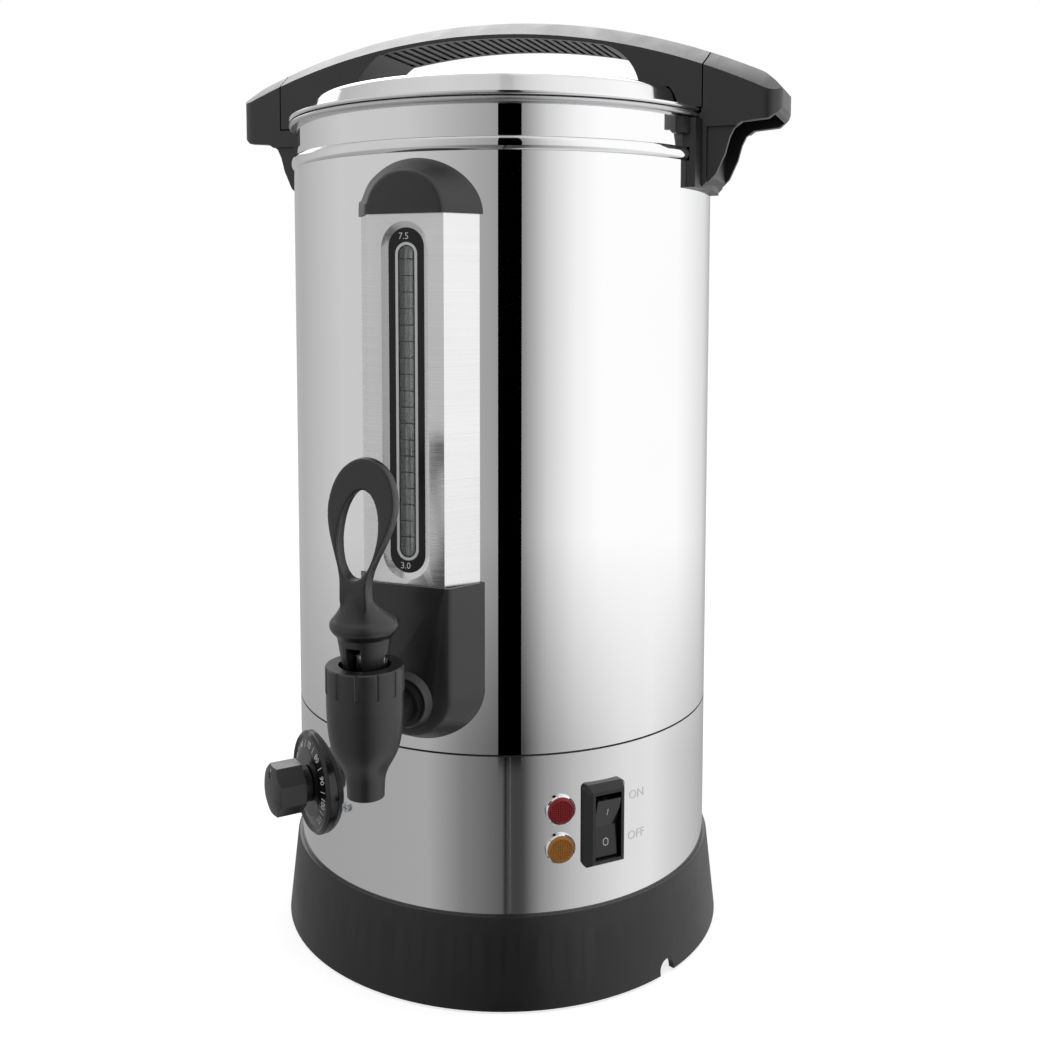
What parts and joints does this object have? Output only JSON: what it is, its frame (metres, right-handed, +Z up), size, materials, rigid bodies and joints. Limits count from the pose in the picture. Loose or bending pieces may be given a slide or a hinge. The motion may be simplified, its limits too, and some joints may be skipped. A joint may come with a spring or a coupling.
{
  "type": "hot water urn",
  "caption": "Cylindrical steel hot water urn with a lift-off lid, arched handle, level gauge, loop-lever tap, dial and rocker switch on a black base.",
  "frame": {"origin": "on the urn's axis, on the surface that its feet stand on", "axes": "+Z up along the urn's axis; the tap and gauge face -Y; the handles lie along X"},
  "size_m": [0.299, 0.2968, 0.4756],
  "materials": {
    "black_plastic": "fine satin moulding",
    "gloss_black": "semi-gloss moulding",
    "gauge_black": "printed plate",
    "polished_steel": "bright polished stainless steel",
    "plain_steel": "plain rolled stainless steel",
    "zinc_steel": "zinc plated",
    "black_rubber": "matt rubber",
    "clear_silicone": "translucent silicone",
    "clear_glass": "clear",
    "red_lens": "waffled transparent lens",
    "amber_lens": "waffled transparent lens",
    "cast_aluminium": "as cast",
    "brown_phenolic": "moulded",
    "red_button": "moulded",
    "white_plastic": "moulded"
  },
  "bodies": {
    "urn": {"base_skirt": "black_plastic", "bottom_cover": "plain_steel", "feet": "black_rubber", "base_screws": "zinc_steel", "cable_gland": "black_rubber", "lower_band": "polished_steel", "outer_shell": "polished_steel", "collar_ring": "polished_steel", "inner_tank": "plain_steel", "side_handle_left": "black_plastic", "side_handle_right": "black_plastic", "handle_screws": "zinc_steel", "gauge_cover": "polished_steel", "gauge_plate": "gauge_black", "gauge_lens": "clear_glass", "sight_tube": "clear_glass", "tube_seals": "black_rubber", "gauge_cap": "black_plastic", "cap_screws": "zinc_steel", "tap_housing": "black_plastic", "tap_body": "black_plastic", "tap_flange": "black_plastic", "gauge_tee": "plain_steel", "wall_gaskets": "black_rubber", "tail_nut": "plain_steel", "tap_collar": "black_plastic", "tap_bonnet": "black_plastic", "tap_spring": "zinc_steel", "dial_bezel": "gloss_black", "thermostat_body": "zinc_steel", "dial_screws": "zinc_steel", "switch_bezel": "black_plastic", "switch_body": "black_plastic", "lamp_rings": "polished_steel", "lamp_lens_red": "red_lens", "lamp_lens_amber": "amber_lens", "lamp_holders": "black_plastic", "heater_plate": "cast_aluminium", "heating_element": "plain_steel", "tie_studs": "zinc_steel", "stud_nuts": "zinc_steel", "thermal_cutout": "brown_phenolic", "terminal_block": "white_plastic"},
    "lid": {"lid": "polished_steel", "lid_seal": "clear_silicone", "lid_screws": "zinc_steel", "lid_handle": "black_plastic"},
    "lever": {"tap_lever": "black_plastic", "lever_pin": "plain_steel"},
    "stem": {"tap_stem": "plain_steel", "tap_seal": "clear_silicone"},
    "knob": {"dial_knob": "gloss_black", "thermostat_shaft": "zinc_steel"},
    "rocker": {"switch_rocker": "gloss_black"},
    "reset": {"reset_button": "red_button"}
  },
  "joints": [
    {"name": "lid_lift", "type": "slide", "parent": "urn", "child": "lid", "axis": [0, 0, 1], "range_m": [0, 0.12]},
    {"name": "tap_lever_tilt", "type": "hinge", "parent": "urn", "child": "lever", "pos_m": [0, -0.163, 0.181], "axis": [1, 0, 0], "range_deg": [0, 30], "stiffness_Nm_per_rad": 0.3, "springref_deg": -17.19},
    {"name": "tap_stem_lift", "type": "slide", "parent": "urn", "child": "stem", "axis": [0, 0, 1], "range_m": [0, 0.00405], "deforming": ["tap_spring"]},
    {"name": "dial_turn", "type": "hinge", "parent": "urn", "child": "knob", "pos_m": [-0.07713, -0.09193, 0.085], "axis": [0.6428, 0.766, 0], "range_deg": [0, 270]},
    {"name": "rocker_tip", "type": "hinge", "parent": "urn", "child": "rocker", "pos_m": [0.07658, -0.07242, 0.0845], "axis": [-0.6871, -0.7266, 0], "range_deg": [0, 12]},
    {"name": "reset_press", "type": "slide", "parent": "urn", "child": "reset", "axis": [0, 0, 1], "range_m": [0, 0.0016], "stiffness_N_per_m": 300, "springref_m": -0.002}
  ],
  "couplings": [
    {"joint": "tap_stem_lift", "follows": "tap_lever_tilt", "m_per_rad": 0.0076394}
  ]
}
